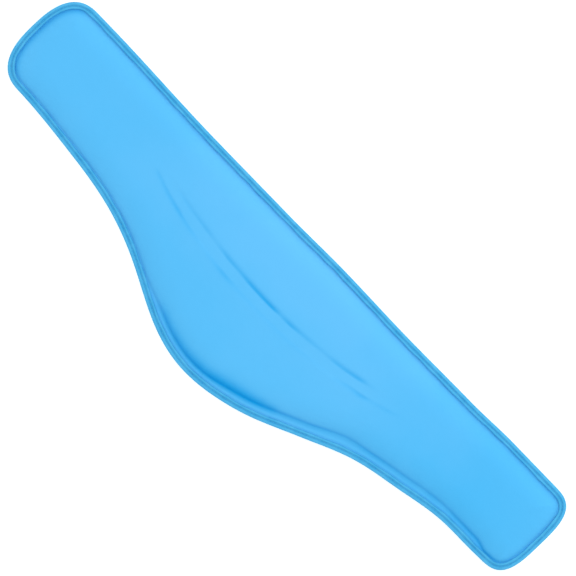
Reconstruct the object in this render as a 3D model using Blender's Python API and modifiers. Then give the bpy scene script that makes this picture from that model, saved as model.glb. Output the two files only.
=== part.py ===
"""A contoured neck ice pack: gel in a fabric cover with a taped edge, lying flat on its back cover.

X runs along the pack, +Y points at its straight edge, and the deep part for the nape is at -Y.
Z is up, and the origin is under the middle of the pack, on the surface that it lies on.
All sizes are in metres.
"""

import math

import bmesh
import bpy
import numpy as np

COLLECTION_NAME = "neck_ice_pack"

# Outline from above
PACK_LENGTH = 0.584
PACK_WIDTH = 0.1508
LEFT_ARM_WIDTH = 0.0905
RIGHT_ARM_WIDTH = 0.0836
NAPE_SHIFT = -0.0044
LEFT_NAPE_REACH = 0.0935
RIGHT_NAPE_REACH = 0.1068
STRAIGHT_EDGE_HOLLOW = 0.0028
CURVED_EDGE_WAVER = 0.0014
LEFT_CORNER_LENGTH = 0.0305
RIGHT_CORNER_LENGTH = 0.0265
LEFT_CORNER_SQUARENESS = 2.6
RIGHT_CORNER_SQUARENESS = 3.3
LEAST_CORNER_SHARE = 0.25

# The straight edge draws in by shares of its hollow, at shares of half the length
STRAIGHT_EDGE_ROWS = (
    {"along": -1.0, "hollow": 0.1},
    {"along": -0.85, "hollow": 0.15},
    {"along": -0.42, "hollow": 1.0},
    {"along": -0.14, "hollow": 0.95},
    {"along": 0.08, "hollow": 0.55},
    {"along": 0.33, "hollow": 0.85},
    {"along": 0.58, "hollow": 0.6},
    {"along": 0.75, "hollow": 0.0},
    {"along": 1.0, "hollow": 0.0},
)

# The curved edge wavers in and out by shares of its waver, as it was sewn
CURVED_EDGE_ROWS = (
    {"along": -1.0, "waver": 0.7},
    {"along": -0.9, "waver": 0.8},
    {"along": -0.66, "waver": -0.7},
    {"along": -0.36, "waver": 0.75},
    {"along": -0.16, "waver": -0.4},
    {"along": 0.07, "waver": 0.35},
    {"along": 0.21, "waver": -0.3},
    {"along": 0.33, "waver": 0.0},
    {"along": 0.46, "waver": 0.8},
    {"along": 0.61, "waver": -0.4},
    {"along": 0.76, "waver": 1.0},
    {"along": 0.88, "waver": 0.1},
    {"along": 1.0, "waver": 0.2},
)

# Layers at the edge, from below: tape, back cover, front cover, tape
COVER_WALL = 0.0010
TAPE_WALL = 0.0010
TAPE_WIDTH = 0.0059
CLEARANCE = 0.0003
EDGE_LIFT = 0.0020
EDGE_STACK = 2 * TAPE_WALL + 2 * COVER_WALL + 3 * CLEARANCE
BACK_RIM_HEIGHT = EDGE_LIFT + TAPE_WALL + CLEARANCE
FRONT_RIM_HEIGHT = EDGE_LIFT + EDGE_STACK - TAPE_WALL - CLEARANCE
FOLD_RADIUS = EDGE_STACK / 2
SHOULDER_GAP = 0.0008
FOOT_INSET = TAPE_WIDTH + SHOULDER_GAP

# The puffed body
CROWN_HEIGHT = 0.0146
SHOULDER_WIDTH = 0.026
FLANGE_WIDTH = 0.0066
FLANGE_FADE_SHARE = 0.5
SOFT_STEEPNESS = 2.4
FIRM_STEEPNESS = 3.4
UNDERSIDE_CURL = 0.0125
SWELL_HEIGHT = 0.0008
GEL_CLEARANCE = 0.0004

# Along the curved edge: the flat flange as a share of its width, and how firm the shoulder above it is
SHOULDER_ROWS = (
    {"along": -1.0, "flange": 0.0, "firm": 0.0},
    {"along": -0.3, "flange": 0.0, "firm": 0.1},
    {"along": -0.16, "flange": 0.5, "firm": 0.8},
    {"along": 0.0, "flange": 0.5, "firm": 1.0},
    {"along": 0.12, "flange": 0.75, "firm": 1.0},
    {"along": 0.3, "flange": 0.8, "firm": 0.7},
    {"along": 0.41, "flange": 1.0, "firm": 0.5},
    {"along": 0.5, "flange": 0.7, "firm": 0.4},
    {"along": 0.64, "flange": 0.7, "firm": 0.4},
    {"along": 0.82, "flange": 0.45, "firm": 0.5},
    {"along": 0.93, "flange": 0.4, "firm": 0.6},
    {"along": 1.0, "flange": 0.0, "firm": 0.3},
)

# Soft mounds and dips of the gel: place as shares of half the length and half the width,
# reach as a share of an arm's width, height as a share of the swell
SWELL_ROWS = (
    {"along": -0.86, "across": 0.35, "reach": 0.45, "height": 0.6},
    {"along": -0.62, "across": 0.5, "reach": 0.4, "height": -0.8},
    {"along": -0.4, "across": 0.3, "reach": 0.5, "height": 0.7},
    {"along": -0.16, "across": 0.55, "reach": 0.4, "height": 0.5},
    {"along": -0.12, "across": -0.45, "reach": 0.55, "height": 1.0},
    {"along": 0.16, "across": -0.25, "reach": 0.5, "height": -0.8},
    {"along": 0.22, "across": 0.6, "reach": 0.4, "height": -0.5},
    {"along": 0.45, "across": 0.3, "reach": 0.5, "height": 0.8},
    {"along": 0.7, "across": 0.5, "reach": 0.4, "height": -0.7},
    {"along": 0.88, "across": 0.45, "reach": 0.4, "height": 0.6},
)

# The arc pressed in across the middle
SEAL_LENGTH = 0.287
SEAL_SHIFT = -0.0024
SEAL_FROM_STRAIGHT_EDGE = 0.0482
SEAL_SAG = 0.0209
SEAL_BAND = 0.0072
SEAL_SLOPE = 0.0024
SEAL_DEPTH = 0.0024
SEAL_FADE = 0.040

# How finely the surfaces are divided
COLUMNS = 42
LOWER_ROWS = 4
UPPER_ROWS = 3
SEAL_STRIPS = 3
ROWS = LOWER_ROWS + SEAL_STRIPS + UPPER_ROWS
CORNER_CROWDING = 0.4
SHOULDER_RINGS = (0.0090, 0.0042, 0.0016, 0.0)
UNDERSIDE_RINGS = (1.2, 0.75, 0.35, 0.0)
FOOT_RING = 3
GEL_TOP_RING = 2
GEL_BACK_RING = 2
OUTER_FOLD_STEPS = 4
INNER_FOLD_STEPS = 3
FINE_FACTOR = 8
SMALL_STEP = 0.0005

# Finishes: colour, roughness
PANEL_FINISH = ((0.10, 0.47, 0.92, 1.0), 0.75)
BACK_FINISH = ((0.09, 0.43, 0.88, 1.0), 0.78)
GEL_FINISH = ((0.35, 0.65, 0.90, 1.0), 0.20)
TAPE_FINISH = ((0.03, 0.36, 0.72, 1.0), 0.70)


def eased(share):
    """A share from 0 to 1 that starts and ends without a corner."""
    share = np.clip(share, 0.0, 1.0)
    return share * share * (3 - 2 * share)


def table_value(rows, column, along):
    """The value of one column of a table at each place along, eased from row to row."""
    places = np.array([row["along"] for row in rows])
    values = np.array([row[column] for row in rows])
    span = np.clip(np.searchsorted(places, along) - 1, 0, len(rows) - 2)
    share = (along - places[span]) / (places[span + 1] - places[span])
    return values[span] + (values[span + 1] - values[span]) * eased(share)


def stretch(curve, x):
    """How much longer a curve is than its run along X, at each x."""
    slope = (curve(x + SMALL_STEP) - curve(x - SMALL_STEP)) / (2 * SMALL_STEP)
    return np.sqrt(1 + slope * slope)


def straight_edge(x):
    """The y of the upper long edge, which is almost straight."""
    hollow = table_value(STRAIGHT_EDGE_ROWS, "hollow", x / (PACK_LENGTH / 2))
    return PACK_WIDTH / 2 - STRAIGHT_EDGE_HOLLOW * hollow


def curved_edge(x):
    """The y of the lower long edge: two arms with a bell between them, and the waver of its sewing."""
    on_left = x < NAPE_SHIFT
    arm = np.where(on_left, LEFT_ARM_WIDTH, RIGHT_ARM_WIDTH)
    reach = np.where(on_left, LEFT_NAPE_REACH, RIGHT_NAPE_REACH)
    bell = 0.5 ** (((x - NAPE_SHIFT) / reach) ** 2)
    waver = CURVED_EDGE_WAVER * table_value(CURVED_EDGE_ROWS, "waver", x / (PACK_LENGTH / 2))
    return PACK_WIDTH / 2 - arm - (PACK_WIDTH - arm) * bell + waver


def corner_sizes(x, inset):
    """Where an end's corners start, their length and squareness, on the outline drawn in by inset."""
    on_left = np.asarray(x) < 0
    length = np.where(on_left, LEFT_CORNER_LENGTH, RIGHT_CORNER_LENGTH)
    squareness = np.where(on_left, LEFT_CORNER_SQUARENESS, RIGHT_CORNER_SQUARENESS)
    length = np.maximum(length - inset, length * LEAST_CORNER_SHARE)
    return PACK_LENGTH / 2 - inset - length, length, squareness


def rounded(share, squareness):
    """How far an end still spans across, at a share of its corner's length."""
    share = np.clip(share, 0.0, 1.0)
    return (1 - share**squareness) ** (1 / squareness)


def end_middle(x):
    """The y of the middle of the end that x belongs to."""
    tip = np.where(np.asarray(x) < 0, -PACK_LENGTH / 2, PACK_LENGTH / 2)
    return (straight_edge(tip) + curved_edge(tip)) / 2


def open_sides(x, inset):
    """The lower and upper edge at each x, drawn in by inset, before the ends are rounded."""
    low = curved_edge(x) + inset * stretch(curved_edge, x)
    high = straight_edge(x) - inset * stretch(straight_edge, x)
    return low, high


def closed_sides(x, inset):
    """The lower and upper edge at each x, drawn in by inset, with the rounded ends."""
    start, length, squareness = corner_sizes(x, inset)
    span = rounded((np.abs(x) - start) / length, squareness)
    low, high = open_sides(x, inset)
    middle = end_middle(x)
    return middle + (low - middle) * span, middle + (high - middle) * span


def corner_x(sign, inset):
    """The x of the two corners of one end, halfway round them."""
    start, length, squareness = corner_sizes(float(sign), inset)
    return float(sign * (start + length * 0.5 ** (1 / squareness)))


def end_points(sign, shares, inset):
    """Points across one end, at shares of the way from its lower corner to its upper corner."""
    turn = corner_x(sign, inset)
    start, length, squareness = corner_sizes(turn, inset)
    low, high = closed_sides(turn, inset)
    y = low + (high - low) * shares
    open_low, open_high = open_sides(turn, inset)
    middle = end_middle(turn)
    reach = np.where(y > middle, open_high - middle, middle - open_low)
    x = start + length * rounded(np.abs(y - middle) / reach, squareness)
    return np.column_stack((sign * x, y))


def column_shares(columns):
    """Shares along the pack for its columns, closer together towards the corners."""
    share = np.linspace(0, 1, columns + 1)
    crowded = 0.5 - 0.5 * np.cos(math.pi * share)
    return share + (crowded - share) * CORNER_CROWDING


def column_places(columns, inset):
    """The x of each column, from the corners of the left end to those of the right end."""
    left, right = corner_x(-1, inset), corner_x(1, inset)
    return left + (right - left) * column_shares(columns)


def outline_loop(inset, columns, left_shares, right_shares, flange=0.0):
    """Points round the outline drawn in by inset, anticlockwise from the lower left corner.

    The curved edge is drawn in by flange as well, one value for each column.
    """
    x = column_places(columns, inset)
    low, _ = closed_sides(x, inset + flange)
    _, high = closed_sides(x, inset)
    lower = np.column_stack((x, low))[:-1]
    right = end_points(1, right_shares, inset)[:-1]
    upper = np.column_stack((x, high))[:0:-1]
    left = end_points(-1, left_shares, inset)[:0:-1]
    return np.concatenate((lower, right, upper, left))


def edge_distance(points):
    """How far each point is from the outline."""
    shares = np.linspace(0, 1, FINE_FACTOR * ROWS + 1)
    start = outline_loop(0.0, FINE_FACTOR * COLUMNS, shares, shares)
    run = np.roll(start, -1, axis=0) - start
    offset = points[:, None, :] - start[None, :, :]
    share = np.clip((offset * run).sum(axis=2) / (run * run).sum(axis=1), 0, 1)
    nearest = offset - share[:, :, None] * run
    return np.sqrt((nearest * nearest).sum(axis=2).min(axis=1))


def seal_line(x):
    """The y of the middle of the pressed arc, level beyond its ends."""
    share = np.clip((x - SEAL_SHIFT) / (SEAL_LENGTH / 2), -1, 1)
    return PACK_WIDTH / 2 - SEAL_FROM_STRAIGHT_EDGE - SEAL_SAG * (1 - share * share)


def seal_groove(points):
    """How deep the pressed arc is at each point, as a share of its depth."""
    x, y = points[:, 0], points[:, 1]
    along = np.abs(x - SEAL_SHIFT)
    beyond = np.maximum(along - (SEAL_LENGTH - SEAL_BAND) / 2, 0)
    across = (y - seal_line(x)) / stretch(seal_line, x)
    side = (np.hypot(beyond, across) - SEAL_BAND / 2) / SEAL_SLOPE
    return np.clip(1 - side, 0, 1) * eased((SEAL_LENGTH / 2 + SEAL_SLOPE - along) / SEAL_FADE)


def on_curved_side(points):
    """1 near the curved edge, 0 from the seal line to the straight edge."""
    x, y = points[:, 0], points[:, 1]
    depth = seal_line(x) - curved_edge(x)
    return eased((seal_line(x) - y) / (depth / 2))


def shoulder_value(points, column):
    """A column of the shoulder table at each point."""
    along = points[:, 0] / (PACK_LENGTH / 2)
    return table_value(SHOULDER_ROWS, column, along) * on_curved_side(points)


def flange_reach(points):
    """How wide the flat flange is between the tape and the shoulder, with none left at the corners."""
    start, length, _ = corner_sizes(points[:, 0], 0.0)
    fade = eased((start - np.abs(points[:, 0])) / (length * FLANGE_FADE_SHARE))
    return FLANGE_WIDTH * shoulder_value(points, "flange") * fade


def past_shoulder_foot(points):
    """How far each point lies inwards of the line where the body rises out of the flange."""
    return edge_distance(points) - FOOT_INSET - flange_reach(points)


def swell(points):
    """The soft mounds and dips of the gel."""
    total = np.zeros(len(points))
    for row in SWELL_ROWS:
        centre = np.array((row["along"] * PACK_LENGTH / 2, row["across"] * PACK_WIDTH / 2))
        away = np.hypot(*(points - centre).T) / (row["reach"] * RIGHT_ARM_WIDTH)
        total += SWELL_HEIGHT * row["height"] * 0.5 ** (away * away)
    return total


def front_height(points):
    """The height of the front cover's outer face."""
    inwards = np.clip(past_shoulder_foot(points) / SHOULDER_WIDTH, 0, 1)
    firm = shoulder_value(points, "firm")
    steepness = SOFT_STEEPNESS + (FIRM_STEEPNESS - SOFT_STEEPNESS) * firm
    rise = 1 - (1 - inwards) ** steepness
    body = CROWN_HEIGHT - FRONT_RIM_HEIGHT + swell(points)
    return FRONT_RIM_HEIGHT + rise * body - SEAL_DEPTH * seal_groove(points)


def back_height(points):
    """The height of the back cover's outer face, flat on the ground but for its lifted rim."""
    return BACK_RIM_HEIGHT * (1 - eased(past_shoulder_foot(points) / UNDERSIDE_CURL))


def column_flange(columns, inset):
    """The flange's width at each column of the curved edge."""
    x = column_places(columns, inset)
    low, _ = closed_sides(x, inset)
    return flange_reach(np.column_stack((x, low)))


def body_rows(x, inset):
    """The y of every row at each column, close together beside the pressed arc."""
    low, _ = closed_sides(x, inset + column_flange(COLUMNS, inset))
    _, high = closed_sides(x, inset)
    line, lean = seal_line(x), stretch(seal_line, x)
    band, brink = SEAL_BAND / 2 * lean, (SEAL_BAND / 2 + SEAL_SLOPE) * lean
    below = np.linspace(low, line - brink, LOWER_ROWS + 1)
    above = np.linspace(line + brink, high, UPPER_ROWS + 1)
    return np.concatenate((below, (line - band, line + band), above))


def row_shares(y):
    """The place of each row as a share of the way across, at the left and the right end."""
    shares = (y - y[0]) / (y[-1] - y[0])
    return shares[:, 0], shares[:, -1]


def body_grid():
    """The plan of the body: a point for each row and column, and the row shares at both ends."""
    inset = FOOT_INSET + SHOULDER_RINGS[0]
    x = column_places(COLUMNS, inset)
    y = body_rows(x, inset)
    left_shares, right_shares = row_shares(y)
    left_bow = end_points(-1, left_shares, inset)[:, 0] - x[0]
    right_bow = end_points(1, right_shares, inset)[:, 0] - x[-1]
    across = np.linspace(0, 1, COLUMNS + 1)
    x = x + np.outer(left_bow, 1 - across) + np.outer(right_bow, across)
    return np.dstack((x, y)), left_shares, right_shares


def body_ring(step):
    """Points round the body, a step inwards of the foot of its shoulder."""
    _, left_shares, right_shares = body_grid()
    inset = FOOT_INSET + step
    return outline_loop(inset, COLUMNS, left_shares, right_shares, column_flange(COLUMNS, inset))


def edge_ring(inset):
    """Points round the edge, an inset in from the outline, at the body's rows and columns."""
    _, left_shares, right_shares = body_grid()
    return outline_loop(inset, COLUMNS, left_shares, right_shares)


def station_number(row, column):
    """The place in a ring of a point on the edge of the body's grid."""
    if row == 0:
        return column
    if column == COLUMNS:
        return COLUMNS + row
    if row == ROWS:
        return 2 * COLUMNS + ROWS - column
    return 2 * (COLUMNS + ROWS) - row


def extrude_rings(bm, rings):
    """Draws the open edge of a mesh outwards, ring by ring."""
    station = bm.verts.layers.int["station"]
    ring_number = bm.verts.layers.int["ring"]
    for number, ring in enumerate(rings, start=1):
        edges = [edge for edge in bm.edges if edge.is_boundary]
        drawn = bmesh.ops.extrude_edge_only(bm, edges=edges)["geom"]
        for vertex in (item for item in drawn if isinstance(item, bmesh.types.BMVert)):
            vertex[ring_number] = number
            vertex.co.xy = ring[vertex[station]]


def set_heights(bm, height, rim_height, facing):
    """Lifts each point of a plan to its height and turns all faces up or down.

    From the shoulder's foot outwards the sheet lies flat, so that the tape folds over it.
    """
    ring_number = bm.verts.layers.int["ring"]
    points = np.array([vertex.co.xy for vertex in bm.verts])
    for vertex, z in zip(bm.verts, height(points)):
        vertex.co.z = rim_height if vertex[ring_number] >= FOOT_RING else z
    bm.normal_update()
    bmesh.ops.reverse_faces(bm, faces=[face for face in bm.faces if face.normal.z * facing < 0])


def front_sheet():
    """The front cover's outer face: the body's grid with rings down to the rim."""
    bm = bmesh.new()
    station = bm.verts.layers.int.new("station")
    bm.verts.layers.int.new("ring")
    bmesh.ops.create_grid(bm, x_segments=COLUMNS, y_segments=ROWS, size=0.5)
    plan, _, _ = body_grid()
    for vertex in bm.verts:
        column = round((vertex.co.x + 0.5) * COLUMNS)
        row = round((vertex.co.y + 0.5) * ROWS)
        vertex[station] = station_number(row, column)
        vertex.co.xy = plan[row, column]
    extrude_rings(bm, [body_ring(step) for step in SHOULDER_RINGS[1:]] + [edge_ring(FOLD_RADIUS)])
    set_heights(bm, front_height, FRONT_RIM_HEIGHT, 1)
    return bm


def back_sheet():
    """The back cover's outer face: one flat face to lie on, with rings up to the rim."""
    bm = bmesh.new()
    station = bm.verts.layers.int.new("station")
    bm.verts.layers.int.new("ring")
    rings = [body_ring(share * UNDERSIDE_CURL) for share in UNDERSIDE_RINGS]
    bmesh.ops.create_circle(bm, cap_ends=True, radius=PACK_WIDTH, segments=len(rings[0]))
    for number, vertex in enumerate(bm.verts):
        vertex[station] = number
        vertex.co.xy = rings[0][number]
    extrude_rings(bm, rings[1:] + [edge_ring(FOLD_RADIUS)])
    set_heights(bm, back_height, BACK_RIM_HEIGHT, -1)
    return bm


def draw_inwards(bm, distance):
    """Moves a sheet off its outer face, evenly along its faces' normals."""
    bm.normal_update()
    moves = [vertex.normal * distance * vertex.calc_shell_factor() for vertex in bm.verts]
    for vertex, move in zip(bm.verts, moves):
        vertex.co -= move


def trim_rings(bm, last):
    """Cuts off the rings outside the last one that is kept."""
    ring_number = bm.verts.layers.int["ring"]
    outside = [vertex for vertex in bm.verts if vertex[ring_number] > last]
    bmesh.ops.delete(bm, geom=outside, context="VERTS")


def as_mesh(bm, name):
    """A mesh made from a bmesh, which is freed."""
    mesh = bpy.data.meshes.new(name)
    bm.to_mesh(mesh)
    bm.free()
    return mesh


def gel_mesh():
    """The filling: the inner faces of both covers, drawn in by a clearance and bridged."""
    whole = bmesh.new()
    for sheet, last in ((front_sheet(), GEL_TOP_RING), (back_sheet(), GEL_BACK_RING)):
        draw_inwards(sheet, COVER_WALL + GEL_CLEARANCE)
        trim_rings(sheet, last)
        half = as_mesh(sheet, "gel_half")
        whole.from_mesh(half)
        bpy.data.meshes.remove(half)
    open_edges = [edge for edge in whole.edges if edge.is_boundary]
    bmesh.ops.bridge_loops(whole, edges=open_edges)
    bmesh.ops.recalc_face_normals(whole, faces=whole.faces[:])
    return as_mesh(whole, "gel_core")


def arc_points(centre, radius, steps, from_below):
    """Points of the half circle that a fold makes round its outer side."""
    angles = np.linspace(-math.pi / 2, math.pi / 2, steps + 1)
    arc = [(centre - radius * math.cos(angle), radius * math.sin(angle)) for angle in angles]
    return arc if from_below else arc[::-1]


def tape_section():
    """The folded tape's section: inwards from the outline, and up from the middle of the edge."""
    inner_radius = FOLD_RADIUS - TAPE_WALL
    outer = arc_points(FOLD_RADIUS, FOLD_RADIUS, OUTER_FOLD_STEPS, True)
    inner = arc_points(FOLD_RADIUS, inner_radius, INNER_FOLD_STEPS, False)
    upper_end = [(TAPE_WIDTH, FOLD_RADIUS), (TAPE_WIDTH, inner_radius)]
    lower_end = [(TAPE_WIDTH, -inner_radius), (TAPE_WIDTH, -FOLD_RADIUS)]
    return outer + upper_end + inner + lower_end


def closed_curve(name, points):
    """A closed flat curve through points, as straight runs."""
    curve = bpy.data.curves.new(name, "CURVE")
    curve.dimensions = "2D"
    curve.fill_mode = "NONE"
    spline = curve.splines.new("POLY")
    spline.points.add(len(points) - 1)
    for point, (x, y) in zip(spline.points, points):
        point.co = (x, y, 0.0, 1.0)
    spline.use_cyclic_u = True
    return curve


def finish_material(name, finish):
    """A plain Principled material with a colour and a roughness."""
    colour, roughness = finish
    material = bpy.data.materials.new(name)
    material.use_nodes = True
    shader = material.node_tree.nodes["Principled BSDF"]
    shader.inputs["Base Color"].default_value = colour
    shader.inputs["Roughness"].default_value = roughness
    shader.inputs["Metallic"].default_value = 0.0
    return material


def add_object(collection, name, data, finish):
    """An object with its own material, in the pack's collection."""
    item = bpy.data.objects.new(name, data)
    data.materials.append(finish_material(name, finish))
    collection.objects.link(item)
    return item


def add_cover(collection, name, sheet, finish):
    """A cover: its outer face thickened inwards to the fabric's wall."""
    cover = add_object(collection, name, as_mesh(sheet, name), finish)
    cover.data.shade_smooth()
    wall = cover.modifiers.new("fabric_wall", "SOLIDIFY")
    wall.thickness = COVER_WALL
    wall.offset = -1.0
    wall.use_even_offset = True
    return cover


def add_tape(collection, guides):
    """The edge tape: its folded section swept round the outline."""
    section = bpy.data.objects.new("tape_section", closed_curve("tape_section", tape_section()))
    section.hide_render = True
    section.display_type = "WIRE"
    guides.objects.link(section)
    path = closed_curve("edge_binding", edge_ring(0.0))
    path.bevel_mode = "OBJECT"
    path.bevel_object = section
    tape = add_object(collection, "edge_binding", path, TAPE_FINISH)
    tape.location.z = EDGE_LIFT + FOLD_RADIUS
    return tape


def new_collection(name):
    """A collection linked to the scene."""
    collection = bpy.data.collections.new(name)
    bpy.context.scene.collection.children.link(collection)
    return collection


def main():
    """Builds the pack."""
    for item in list(bpy.data.objects):
        bpy.data.objects.remove(item)
    pack = new_collection(COLLECTION_NAME)
    guides = new_collection("guides")
    add_cover(pack, "front_cover", front_sheet(), PANEL_FINISH)
    add_cover(pack, "back_cover", back_sheet(), BACK_FINISH)
    gel = add_object(pack, "gel_core", gel_mesh(), GEL_FINISH)
    gel.data.shade_smooth()
    add_tape(pack, guides)


if __name__ == "__main__":
    main()
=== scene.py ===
"""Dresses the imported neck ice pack.

Two fabric panels lie over the gel, a folded woven tape closes their rim, and a row of stitches holds the
tape on each side. Lengths are in metres, X runs along the pack, +Y points at its straight edge and Z is up.
"""

import logging
import math
from dataclasses import dataclass, field
from enum import Enum

import bpy
import numpy as np
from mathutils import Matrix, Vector
from mathutils.kdtree import KDTree


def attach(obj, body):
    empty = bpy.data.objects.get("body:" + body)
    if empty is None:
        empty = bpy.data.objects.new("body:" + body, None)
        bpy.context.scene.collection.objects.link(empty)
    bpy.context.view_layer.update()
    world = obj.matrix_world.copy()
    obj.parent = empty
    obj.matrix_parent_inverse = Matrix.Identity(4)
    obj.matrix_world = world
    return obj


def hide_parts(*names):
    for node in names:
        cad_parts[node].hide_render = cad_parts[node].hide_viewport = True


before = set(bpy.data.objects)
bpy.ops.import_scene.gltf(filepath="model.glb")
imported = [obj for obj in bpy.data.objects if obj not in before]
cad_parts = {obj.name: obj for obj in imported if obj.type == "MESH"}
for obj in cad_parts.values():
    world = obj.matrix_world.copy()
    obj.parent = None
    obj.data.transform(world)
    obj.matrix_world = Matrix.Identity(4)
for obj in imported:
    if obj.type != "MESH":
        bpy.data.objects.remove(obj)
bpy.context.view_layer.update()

Array = np.ndarray
Colour = tuple[float, float, float]
Row = tuple[float, ...]
Range = tuple[float, float]
Oval = tuple[Range, Range]
Socket = bpy.types.NodeSocket

LOG = logging.getLogger("neck_ice_pack")
MM = 0.001
CROWDING = 0.4
WHOLE: Range = (0.0, 1.0)
NOISE_BODY: Range = (0.3, 0.7)
# The length of one wave of a wave texture whose scale is 1.
WAVE_LENGTH = 0.3125


class Side(Enum):
    """Which way a panel faces."""

    FRONT = 1
    BACK = -1


def eased(share: Array) -> Array:
    """A share from 0 to 1 that starts and ends without a corner."""
    share = np.clip(share, 0.0, 1.0)
    return share * share * (3 - 2 * share)


def from_rows(rows: tuple[Row, ...], along: Array, column: int = 1) -> Array:
    """Reads a table at each place along it, eased from row to row.

    Args:
        rows: The table, each row starting with its place.
        along: The places to read at.
        column: Which value of a row is read.

    Returns:
        One value for each place.
    """
    places = np.array([row[0] for row in rows])
    values = np.array([row[column] for row in rows])
    span = np.clip(np.searchsorted(places, along) - 1, 0, len(rows) - 2)
    share = (along - places[span]) / (places[span + 1] - places[span])
    return values[span] + (values[span + 1] - values[span]) * eased(share)


def ripple(along: Array, pitch: float, seed: float) -> Array:
    """An uneven wave from -1 to 1.

    Args:
        along: Places along the edge, in metres.
        pitch: The mean length of a wave.
        seed: Any number, which shifts the wave.

    Returns:
        The wave's value at each place.
    """
    turn = 2 * math.pi * along / pitch
    slow = np.sin(0.37 * turn + 1.7 * seed)
    return (np.sin(turn + 2.1 * slow + seed) + 0.6 * np.sin(1.73 * turn + 3.3 * seed + slow)) / 1.6


def new_object(name: str, points: Array, faces: Array) -> bpy.types.Object:
    """Makes a smooth-shaded mesh object at the origin.

    Args:
        name: The piece's name.
        points: One place for each point.
        faces: The point numbers of each face.

    Returns:
        The object, linked to the scene.
    """
    mesh = bpy.data.meshes.new(name)
    mesh.from_pydata(points.tolist(), [], faces.tolist())
    mesh.validate()
    mesh.shade_smooth()
    item = bpy.data.objects.new(name, mesh)
    bpy.context.scene.collection.objects.link(item)
    return item


def make_active(item: bpy.types.Object) -> None:
    """Selects one object alone and makes it active.

    Args:
        item: The object.
    """
    bpy.ops.object.select_all(action="DESELECT")
    item.select_set(True)
    bpy.context.view_layer.objects.active = item


def apply_modifier(item: bpy.types.Object, name: str) -> None:
    """Applies one modifier of an object."""
    make_active(item)
    bpy.ops.object.modifier_apply(modifier=name)


def mesh_points(item: bpy.types.Object) -> Array:
    """The places of an object's points.

    Args:
        item: The object.

    Returns:
        One place for each point.
    """
    flat = np.empty(len(item.data.vertices) * 3)
    item.data.vertices.foreach_get("co", flat)
    return flat.reshape(-1, 3)


def move_points(item: bpy.types.Object, points: Array) -> None:
    """Puts an object's points at new places."""
    item.data.vertices.foreach_set("co", points.ravel())
    item.data.update()


def set_share(item: bpy.types.Object, name: str, values: Array) -> None:
    """Writes a named share onto each point of a mesh, for its material to read."""
    layer = item.data.attributes.new(name, "FLOAT", "POINT")
    layer.data.foreach_set("value", values.astype(np.float32))


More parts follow.
